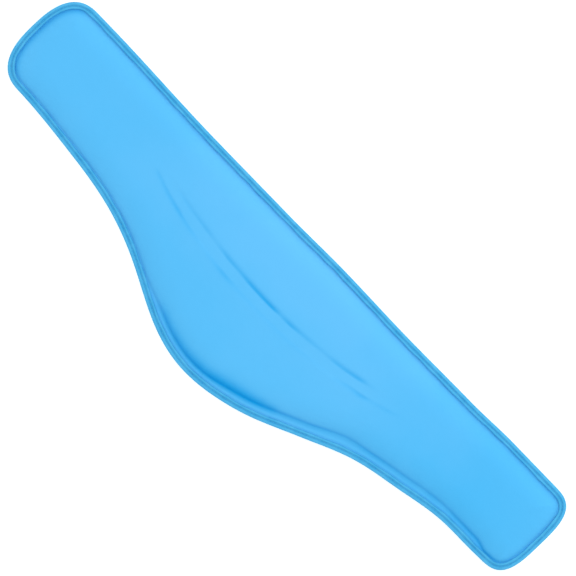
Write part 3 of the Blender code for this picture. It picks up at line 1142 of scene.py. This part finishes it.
@dataclass(frozen=True)
class ThreadFinish:
    """Spun polyester sewing thread, a shade deeper than the tape."""

    name: str = "sewing_thread"
    colour: Colour = (0.030, 0.345, 0.640)
    lit: Colour = (0.090, 0.470, 0.790)
    roughness: Range = (0.49, 0.65)
    roughness_scale: float = 700.0
    twist_scale: float = 900.0
    twist_turn: float = 0.6
    twist_bump: Range = (0.00008, 0.6)

    def material(self) -> bpy.types.Material:
        """Builds the node material: a slanting twist along each stitch.

        Returns:
            The finished material.
        """
        material, shader = node_material(self.name)
        w = Wiring(material)
        inputs = {"Vector": w.place(self.twist_turn), "Scale": self.twist_scale, "Distortion": 1.0}
        twist = w.node("ShaderNodeTexWave", inputs, bands_direction="DIAGONAL").outputs["Fac"]
        w.feed(shader.inputs["Base Color"], w.mix(twist, self.colour, self.lit))
        w.feed(shader.inputs["Roughness"], w.uneven(self.roughness_scale, self.roughness))
        w.feed(shader.inputs["Normal"], w.bump(twist, *self.twist_bump))
        return material


@dataclass(frozen=True)
class GelFinish:
    """Clear soft gel with a blue tint and small bubbles."""

    name: str = "soft_gel"
    colour: Colour = (0.34, 0.66, 0.92)
    milky: Colour = (0.62, 0.84, 0.97)
    cloud_scale: float = 60.0
    bubble_scale: float = 260.0
    bubble_share: float = 0.4
    bubble_bump: Range = (0.0004, 0.5)
    roughness: Range = (0.18, 0.33)
    transmission: float = 0.35
    refraction: float = 1.36

    def material(self) -> bpy.types.Material:
        """Builds the node material.

        Returns:
            The finished material.
        """
        material, shader = node_material(self.name)
        w = Wiring(material)
        cloud = w.remap(w.noise(self.cloud_scale, 4.0), (0.35, 0.7), WHOLE)
        inputs = {"Vector": w.place(), "Scale": self.bubble_scale}
        bubbles = w.node("ShaderNodeTexVoronoi", inputs).outputs["Distance"]
        rings = w.remap(bubbles, (0.05, 0.25), (1.0, 0.0))
        colour = w.mix(cloud, self.colour, self.milky)
        colour = w.mix(w.math("MULTIPLY", rings, self.bubble_share), colour, self.milky)
        w.feed(shader.inputs["Base Color"], colour)
        w.feed(shader.inputs["Roughness"], w.remap(cloud, WHOLE, self.roughness))
        set_inputs(shader, {"Transmission Weight": self.transmission, "IOR": self.refraction})
        w.feed(shader.inputs["Normal"], w.bump(rings, *self.bubble_bump))
        return material


@dataclass(frozen=True)
class FloorFinish:
    """Seamless white paper, lit to white."""

    name: str = "studio_paper"
    colour: Colour = (0.96, 0.96, 0.96)
    white: Colour = (1.0, 1.0, 1.0)
    tooth_scale: float = 300.0
    tooth_share: float = 0.03
    roughness: float = 0.95
    glow: float = 0.42

    def material(self) -> bpy.types.Material:
        """Builds the node material, with a faint tooth.

        Returns:
            The finished material.
        """
        material, shader = node_material(self.name)
        w = Wiring(material)
        tooth = w.remap(w.noise(self.tooth_scale, 2.0), NOISE_BODY, (0.0, self.tooth_share))
        w.feed(shader.inputs["Base Color"], w.mix(tooth, self.colour, self.white))
        set_inputs(shader, {
            "Roughness": self.roughness,
            "Specular IOR Level": 0.0,
            "Emission Color": (*self.white, 1.0),
            "Emission Strength": self.glow,
        })
        return material


@dataclass
class Panel:
    """One fabric panel over the gel, with its wall, seams and creases."""

    side: Side
    plan: PanelPlan
    ruler: EdgeRuler
    finish: PanelFinish
    flange_puff: float = 0.0005
    puffed_flange: float = 0.004
    foot_crease: float = 0.0006
    least_crease: float = 0.4
    creased_flange: float = 0.003
    crease_width: float = 0.0011
    # The reach of the painted shade at the shoulder's crease: above as a share of each row's width, below in
    # metres.
    shade_above: float = 1.35
    shade_below: float = 0.0019
    # Each row: place along the pack, strength of the painted shade at the crease, its width in millimetres.
    crease_shade_rows: tuple[Row, ...] = (
        (-0.23, 0.0, 3.0),
        (-0.16, 0.60, 3.5),
        (-0.08, 0.75, 4.0),
        (0.0, 0.90, 4.6),
        (0.06, 1.0, 5.2),
        (0.13, 1.0, 4.8),
        (0.17, 1.0, 4.0),
        (0.21, 0.88, 3.0),
        (0.25, 0.50, 1.7),
        (0.33, 0.45, 1.2),
        (0.41, 0.30, 1.4),
        (0.50, 0.45, 1.0),
        (0.60, 0.30, 1.0),
        (0.66, 0.12, 1.2),
        (0.70, 0.30, 1.2),
        (0.74, 0.12, 1.2),
        (0.79, 0.40, 1.0),
        (0.85, 0.55, 1.2),
        (0.92, 0.70, 1.2),
        (0.99, 0.0, 1.0),
    )
    # How strongly the pressed lines are darkened with painted shade.
    line_shade_share: float = 0.85
    # A narrow painted shade beside the tape at the left end: its strength, start, fade and width.
    end_shade_share: float = 0.45
    end_start: float = 0.262
    end_fade: float = 0.015
    end_width: float = 0.0034
    pucker_height: float = 0.00016
    pucker_pitch: float = 0.0135
    pucker_start: float = 0.0025
    pucker_reach: float = 0.010
    pucker_swell: float = 0.19

    @property
    def name(self) -> str:
        """The piece's name."""
        return "front_panel" if self.side is Side.FRONT else "back_panel"

    @property
    def node(self) -> str:
        """The CAD node that the panel stands for."""
        return "front_cover" if self.side is Side.FRONT else "back_cover"

    def build(self) -> bpy.types.Object:
        """Builds the panel's outer face, shapes it, gives it its wall and dresses it.

        Returns:
            The finished piece.
        """
        plan, faces = self.plan.points_and_faces()
        away, around = self.ruler.measure(plan)
        form = self.plan.form
        if self.side is Side.FRONT:
            height = form.front(plan, away) + self._front_detail(plan, away, around)
        else:
            height = form.back(plan, away) - self._puckers(away, around)
            faces = faces[:, ::-1]
        item = new_object(self.name, np.column_stack((plan, height)), faces)
        # Painted shade written on the panel's points for its material; all zero on the back.
        set_share(item, "painted_shade", self._painted_shade(plan, away))
        wall = item.modifiers.new("wall", "SOLIDIFY")
        wall.thickness = form.layers.wall
        wall.offset = -1.0
        apply_modifier(item, "wall")
        item.data.materials.append(self.finish.material())
        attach(item, "root")
        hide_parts(self.node)
        self.node
        return item

    def _front_detail(self, plan: Array, away: Array, around: Array) -> Array:
        """The seams, creases and puckers of the front, to add to its height.

        Args:
            plan: Places on the pack.
            away: How far each place lies from the outline.
            around: Where each place lies along the outline.

        Returns:
            One height for each place.
        """
        form = self.plan.form
        arc, outline = form.arc, form.outline
        pressed = arc.depth * arc.sunken(outline, plan) + arc.line_depth * arc.lines(outline, plan)
        reach = form.flange_reach(plan)
        foot = form.past_foot(plan, away)
        on_flange = np.clip((away - form.layers.foot) / np.maximum(reach, MM / 10), 0, 1)
        puff = self.flange_puff * np.sin(math.pi * on_flange) * eased(reach / self.puffed_flange)
        crease = self.foot_crease * eased(reach / self.creased_flange)
        crease *= np.exp(-((foot / self.crease_width) ** 2))
        crease *= self.least_crease + (1 - self.least_crease) * eased(form.shoulder_share(plan, 2))
        return puff - crease - pressed + self._puckers(away, around)

    def _puckers(self, away: Array, around: Array) -> Array:
        """Small folds that run in from the tape and die out.

        Args:
            away: How far each place lies from the outline.
            around: Where each place lies along the outline.

        Returns:
            One height for each place.
        """
        foot = away - self.plan.form.layers.foot
        grow = eased(foot / self.pucker_start) * np.exp(-np.clip(foot, 0, None) / self.pucker_reach)
        strength = 0.5 + 0.5 * ripple(around, self.pucker_swell, 1.3)
        return self.pucker_height * grow * strength * ripple(around, self.pucker_pitch, 0.4)

    def _painted_shade(self, plan: Array, away: Array) -> Array:
        """Where painted shade darkens the front: at the shoulder's crease, along the pressed lines and beside
        the left end's tape, from 0 to 1.

        Args:
            plan: Places on the pack.
            away: How far each place lies from the outline.

        Returns:
            One share for each place.
        """
        form = self.plan.form
        if self.side is Side.BACK:
            return np.zeros(len(plan))
        lines = form.arc.lines(form.outline, plan)
        ends = self._end_shade(plan, away)
        return np.clip(self._painted_crease_shade(plan, away) + self.line_shade_share * lines + ends, 0, 1)

    def _end_shade(self, plan: Array, away: Array) -> Array:
        """The narrow painted shade beside the tape at the left end.

        Args:
            plan: Places on the pack.
            away: How far each place lies from the outline.

        Returns:
            One share for each place.
        """
        foot = np.clip(away - self.plan.form.layers.foot, 0, None)
        reach = eased((-plan[:, 0] - self.end_start) / self.end_fade)
        return self.end_shade_share * reach * np.exp(-((foot / self.end_width) ** 2))

    def _painted_crease_shade(self, plan: Array, away: Array) -> Array:
        """How strongly painted shade darkens each point in the crease at the shoulder's foot, or just above
        it.

        Args:
            plan: Places on the pack.
            away: How far each place lies from the outline.

        Returns:
            One share for each place.
        """
        form, rows = self.plan.form, self.crease_shade_rows
        foot = form.past_foot(plan, away)
        along = form.outline.along(plan[:, 0])
        place = np.clip(along, rows[0][0], rows[-1][0])
        strength = from_rows(rows, place) * (along > rows[0][0]) * form.on_curved_side(plan)
        above = np.clip(foot, 0, None) / (from_rows(rows, place, 2) * self.shade_above * MM)
        below = np.clip(-foot, 0, None) / self.shade_below
        return strength * np.exp(-(above**2) - below**1.4)


@dataclass
class GelFilling:
    """The gel between the panels: the inner faces of both, drawn in by a small gap."""

    plan: PanelPlan
    ruler: EdgeRuler
    finish: GelFinish
    gap: float = 0.0005
    rim_gap: float = 0.9
    rim_fade: float = 0.005
    rim_inset: float = 0.0024

    def build(self) -> bpy.types.Object:
        """Builds the filling as one closed form.

        Returns:
            The finished piece.
        """
        plan, faces = self.plan.points_and_faces()
        away, _ = self.ruler.measure(plan)
        form = self.plan.form
        drop = form.layers.wall + self.gap
        foot = form.past_foot(plan, away)
        thinned = self.rim_gap * np.exp(-np.clip(foot, 0, None) / self.rim_fade)
        top = form.front(plan, away) - drop * (1 + thinned)
        top -= (form.arc.depth + form.arc.line_depth) * form.arc.sunken(form.outline, plan)
        bottom = form.back(plan, away) + drop
        kept = (foot > self.rim_inset)[faces].all(axis=1)
        upper = new_object("gel_upper", np.column_stack((plan, top)), faces[kept])
        lower = new_object("gel_lower", np.column_stack((plan, bottom)), faces[kept][:, ::-1])
        make_active(upper)
        lower.select_set(True)
        bpy.ops.object.join()
        bpy.ops.object.mode_set(mode="EDIT")
        bpy.ops.mesh.select_all(action="SELECT")
        bpy.ops.mesh.delete_loose(use_verts=True, use_edges=True, use_faces=False)
        bpy.ops.mesh.select_all(action="DESELECT")
        bpy.ops.mesh.select_mode(type="EDGE")
        bpy.ops.mesh.select_non_manifold(extend=False)
        bpy.ops.mesh.bridge_edge_loops()
        bpy.ops.mesh.select_all(action="SELECT")
        bpy.ops.mesh.normals_make_consistent(inside=False)
        bpy.ops.object.mode_set(mode="OBJECT")
        upper.name = "gel_filling"
        upper.data.shade_smooth()
        upper.data.materials.append(self.finish.material())
        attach(upper, "root")
        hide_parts("gel_core")
        return upper


@dataclass
class EdgeTape:
    """The woven tape folded over the rim of both panels."""

    layers: EdgeLayers
    ruler: EdgeRuler
    finish: TapeFinish
    step: float = 0.0012
    fold_points: int = 12
    seam_inset: float = 0.0033
    seam_depth: float = 0.0006
    seam_width: float = 0.0006
    lip_height: float = 0.0001
    lip_inset: float = 0.0048
    waver: float = 0.00025
    waver_pitch: float = 0.034
    pinch: float = 0.00012
    pinch_pitches: tuple[float, float] = (0.0034, 0.021)
    puff: float = 0.00010
    puff_pitch: float = 0.017

    def _half_section(self) -> Array:
        """The upper half of the section.

        Returns:
            Inset from the outline and height above the middle, from the fold round to the inner face.
        """
        radius, wall, width = self.layers.fold, self.layers.tape_wall, self.layers.tape_width
        inner = radius - wall
        turn = np.linspace(0, math.pi / 2, self.fold_points)
        fold = np.column_stack((radius - radius * np.cos(turn), radius * np.sin(turn)))
        seam, pressed = self.seam_inset, radius - self.seam_depth
        top = [
            (seam - 0.7 * MM, radius - 0.25 * self.seam_depth),
            (seam - 0.3 * MM, pressed + 0.15 * MM),
            (seam, pressed),
            (seam + 0.3 * MM, pressed + 0.12 * MM),
            (seam + 0.7 * MM, radius - 0.2 * self.seam_depth),
            (seam + 1.15 * MM, radius + self.lip_height),
            (width - 0.55 * MM, radius + self.lip_height),
            (width - 0.2 * MM, radius - 0.08 * MM),
            (width, radius - 0.34 * MM),
            (width, inner + 0.14 * MM),
            (width - 0.12 * MM, inner),
            (width - 1.6 * MM, inner),
            (radius + 0.3 * MM, inner),
        ]
        turn = np.linspace(math.pi / 2, 0, 6)[:-1]
        inside = np.column_stack((radius - inner * np.cos(turn), inner * np.sin(turn)))
        return np.concatenate((fold, top, inside))

    def section(self) -> Array:
        """The whole section, closed: the lower half mirrors the upper one.

        Returns:
            Inset and height, a row for each point.
        """
        half = self._half_section()
        end = np.array([(self.layers.tape_wall, 0.0)])
        lower = half[:0:-1] * np.array((1.0, -1.0))
        return np.concatenate((half, end, lower))

    def build(self) -> bpy.types.Object:
        """Sweeps the section round the outline and dresses it.

        Returns:
            The finished piece.
        """
        path, inward, around = self.ruler.path(self.step)
        section = self.section()
        inset, rise = section[:, 0], section[:, 1]
        lip = eased((inset - self.seam_inset) / (2 * MM))
        on_face = np.abs(rise) > self.layers.fold * 0.7
        seam = np.exp(-(((inset - self.seam_inset) / self.seam_width) ** 2)) * on_face
        sway = np.outer(ripple(around, self.waver_pitch, 2.2), lip) * self.waver
        fine, slow = self.pinch_pitches
        pinch = np.outer(ripple(around, fine, 0.9) * 0.5 + ripple(around, slow, 1.9), seam) * self.pinch
        puff = np.outer(ripple(around, self.puff_pitch, 3.1), 1 - seam) * self.puff
        spread = inset[None, :] + sway
        height = rise[None, :] + np.sign(rise)[None, :] * (puff - pinch) * (np.abs(rise) > 1.5 * MM)
        flat = path[:, None, :] + inward[:, None, :] * spread[:, :, None]
        z = height + self.layers.lift + self.layers.fold
        points = np.dstack((flat, z)).reshape(-1, 3)
        item = new_object("edge_tape", points, self._faces(len(path), len(section)))
        self._unwrap(item, around, section)
        # Painted shade and painted highlight written on the tape's points for its material.
        set_share(item, "painted_shade", np.tile(self._painted_shade(section), len(path)))
        set_share(item, "painted_highlight", np.tile(self._painted_highlight(section), len(path)))
        item.data.materials.append(self.finish.material())
        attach(item, "root")
        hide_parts("edge_binding")
        return item

    def _faces(self, stations: int, around: int) -> Array:
        """The faces of a closed section swept round a closed path.

        Args:
            stations: How many stations the path has.
            around: How many points the section has.

        Returns:
            The point numbers of each face.
        """
        number = np.arange(stations * around).reshape(stations, around)
        ahead, beside = np.roll(number, -1, axis=0), np.roll(number, -1, axis=1)
        across = np.roll(ahead, -1, axis=1)
        return np.dstack((number, beside, across, ahead)).reshape(-1, 4)

    def _unwrap(self, item: bpy.types.Object, around: Array, section: Array) -> None:
        """Gives the tape a UV map in metres: along the edge, and across the tape.

        Args:
            item: The tape.
            around: Each station's place along the outline.
            section: The section's points.
        """
        run = np.hypot(*np.diff(np.vstack((section, section[:1])), axis=0).T)
        across = np.concatenate(([0.0], np.cumsum(run)))
        count, wide = len(around), len(section)
        u = np.append(around, self.ruler.perimeter)
        corner = np.empty((count, wide, 4, 2))
        for place, (ahead, beside) in enumerate(((0, 0), (0, 1), (1, 1), (1, 0))):
            corner[:, :, place, 0] = u[ahead : count + ahead][:, None]
            corner[:, :, place, 1] = across[beside : wide + beside][None, :]
        layer = item.data.uv_layers.new(name="tape_metres")
        layer.data.foreach_set("uv", corner.ravel())

    def _painted_shade(self, section: Array) -> Array:
        """Where painted shade darkens the tape: in the sewn furrow, at its outermost line and along its inner
        edge.

        Args:
            section: The section's points.

        Returns:
            One share for each point.
        """
        inset, rise = section[:, 0], np.abs(section[:, 1])
        furrow = np.exp(-(((inset - self.seam_inset) / (0.55 * MM)) ** 2)) * (rise > 1.6 * MM)
        outer = np.exp(-((inset / (0.35 * MM)) ** 2))
        inner = (inset > self.layers.tape_width - 0.15 * MM).astype(float)
        return np.clip(0.45 * furrow + 0.55 * outer + 0.45 * inner, 0, 1)

    def _painted_highlight(self, section: Array) -> Array:
        """Where a painted highlight lightens the tape: on its raised inner lip and the top of the fold.

        Args:
            section: The section's points.

        Returns:
            One share for each point.
        """
        inset, rise = section[:, 0], np.abs(section[:, 1])
        on_top = rise > 2.0 * MM
        lip = np.exp(-(((inset - self.lip_inset) / (0.5 * MM)) ** 2))
        fold = np.exp(-(((inset - 1.5 * MM) / (0.9 * MM)) ** 2))
        return np.clip((0.75 * lip + 0.5 * fold) * on_top, 0, 1)


@dataclass
class Stitching:
    """The row of lockstitches that holds the tape, above and below."""

    tape: EdgeTape
    finish: ThreadFinish
    pitch: float = 0.0034
    length: float = 0.0027
    thread: float = 0.00056
    bend: float = 0.3
    dip: float = 0.75
    taper: float = 0.35
    proud: float = 0.30
    slant: float = 0.05
    slant_pitch: float = 0.011

    def _stitch(self) -> bpy.types.Object:
        """Models one stitch along X: a short thread whose ends dip into the tape.

        Returns:
            The stitch.
        """
        bpy.ops.object.select_all(action="DESELECT")
        bpy.ops.mesh.primitive_cylinder_add(
            vertices=6,
            radius=self.thread / 2,
            depth=self.length,
            end_fill_type="TRIFAN",
            rotation=(0.0, math.pi / 2, 0.0),
        )
        item = bpy.context.object
        bpy.ops.object.transform_apply(location=True, rotation=True, scale=True)
        bpy.ops.object.mode_set(mode="EDIT")
        for share in (-self.bend, self.bend):
            bpy.ops.mesh.select_all(action="SELECT")
            bpy.ops.mesh.bisect(plane_co=(share * self.length, 0.0, 0.0), plane_no=(1.0, 0.0, 0.0))
        bpy.ops.object.mode_set(mode="OBJECT")
        points = mesh_points(item)
        share = np.clip(np.abs(points[:, 0]) / (self.length / 2), 0, 1)
        points[:, 2] -= self.thread * self.dip * share**3
        points[:, 1:] *= (1 - self.taper * share**4)[:, None]
        move_points(item, points)
        return item

    def build(self) -> bpy.types.Object:
        """Copies the stitch along the furrow on both faces and joins the copies.

        Returns:
            The finished piece.
        """
        model = self._stitch()
        points = mesh_points(model)
        faces = [tuple(face.vertices) for face in model.data.polygons]
        bpy.data.objects.remove(model)
        path, inward, around = self.tape.ruler.path(self.pitch)
        layers = self.tape.layers
        rise = layers.fold - self.tape.seam_depth + self.thread * self.proud
        places, shapes = [], []
        for face in (1, -1):
            slant = self.slant * ripple(around, self.slant_pitch, 4.0 + face)
            for (x, y), normal, lean in zip(path, inward, slant):
                run = Vector((normal[1], -normal[0])) + Vector(normal) * lean
                centre = (x + normal[0] * self.tape.seam_inset, y + normal[1] * self.tape.seam_inset)
                spot = np.column_stack((
                    centre[0] + points[:, 0] * run.x - points[:, 1] * run.y * face,
                    centre[1] + points[:, 0] * run.y + points[:, 1] * run.x * face,
                    layers.lift + layers.fold + face * (rise + points[:, 2]),
                ))
                first = len(places) * len(points)
                shapes.extend(tuple(number + first for number in loop) for loop in faces)
                places.append(spot)
        item = self._joined(np.concatenate(places), shapes)
        item.data.materials.append(self.finish.material())
        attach(item, "root")
        return item

    def _joined(self, points: Array, faces: list[tuple[int, ...]]) -> bpy.types.Object:
        """One mesh object of all the stitches, its faces turned outwards.

        Args:
            points: The points of all the stitches.
            faces: The point numbers of each face.

        Returns:
            The joined piece.
        """
        mesh = bpy.data.meshes.new("tape_stitches")
        mesh.from_pydata(points.tolist(), [], faces)
        item = bpy.data.objects.new("tape_stitches", mesh)
        bpy.context.scene.collection.objects.link(item)
        make_active(item)
        bpy.ops.object.mode_set(mode="EDIT")
        bpy.ops.mesh.select_all(action="SELECT")
        bpy.ops.mesh.normals_make_consistent(inside=False)
        bpy.ops.object.mode_set(mode="OBJECT")
        mesh.shade_smooth()
        return item


@dataclass
class Studio:
    """White paper, soft light and a camera that looks straight down."""

    floor: FloorFinish
    turn: float = math.radians(46.0)
    aim: tuple[float, float] = (0.00264, 0.0315)
    distance: float = 2.4
    view_width: float = 0.4631
    focus_height: float = 0.006
    sensor: float = 0.036
    key_place: tuple[float, float, float] = (0.45, 1.25, 1.45)
    key_size: float = 0.9
    key_power: float = 9.0
    fill_place: tuple[float, float, float] = (-1.1, -0.3, 1.7)
    fill_size: float = 1.4
    fill_power: float = 3.0
    surround: float = 0.86
    floor_size: float = 6.0

    def build(self) -> None:
        """Sets the floor, lights, camera and colour handling."""
        self._floor()
        self._camera()
        self._light("key", self.key_place, self.key_size, self.key_power)
        self._light("fill", self.fill_place, self.fill_size, self.fill_power)
        world = bpy.data.worlds.new("studio")
        world.use_nodes = True
        background = world.node_tree.nodes["Background"]
        set_inputs(background, {"Color": (1.0, 1.0, 1.0, 1.0), "Strength": self.surround})
        bpy.context.scene.world = world
        bpy.context.scene.view_settings.view_transform = "Standard"

    def _floor(self) -> None:
        """Lays the paper under the pack."""
        bpy.ops.object.select_all(action="DESELECT")
        bpy.ops.mesh.primitive_plane_add(size=self.floor_size, location=(0.0, 0.0, 0.0))
        paper = bpy.context.object
        paper.name = "paper_floor"
        paper.data.materials.append(self.floor.material())

    def _camera(self) -> None:
        """Hangs the camera over the pack, turned to the picture's angle."""
        data = bpy.data.cameras.new("camera")
        data.sensor_width = self.sensor / MM
        data.lens = self.sensor / MM * (self.distance - self.focus_height) / self.view_width
        camera = bpy.data.objects.new("camera", data)
        camera.location = (*self.aim, self.distance)
        camera.rotation_euler = (0.0, 0.0, self.turn)
        bpy.context.scene.collection.objects.link(camera)
        bpy.context.scene.camera = camera

    def _light(self, name: str, place: tuple[float, float, float], size: float, power: float) -> None:
        """Adds a soft square light that points at the pack.

        Args:
            name: Its name.
            place: Where it stands.
            size: Its width.
            power: Its power in watts.
        """
        data = bpy.data.lights.new(name, "AREA")
        data.shape = "SQUARE"
        data.size = size
        data.energy = power
        light = bpy.data.objects.new(name, data)
        light.location = place
        light.rotation_euler = (-Vector(place)).to_track_quat("-Z", "Y").to_euler()
        bpy.context.scene.collection.objects.link(light)


def main() -> None:
    """Builds the dressed pack piece by piece."""
    logging.basicConfig(level=logging.INFO, format="%(message)s")
    outline, layers = Outline(), EdgeLayers()
    ruler = EdgeRuler(outline)
    form = PackForm(outline, layers, PressedArc())
    plan = PanelPlan(form)
    tape = EdgeTape(layers, ruler, TapeFinish())
    jersey = PanelFinish()
    builders = (
        Panel(Side.FRONT, plan, ruler, jersey),
        Panel(Side.BACK, plan, ruler, jersey),
        GelFilling(plan, ruler, GelFinish()),
        tape,
        Stitching(tape, ThreadFinish()),
    )
    for builder in builders:
        piece = builder.build()
        LOG.info("%s: %d faces", piece.name, len(piece.data.polygons))
    Studio(FloorFinish()).build()


if __name__ == "__main__":
    main()
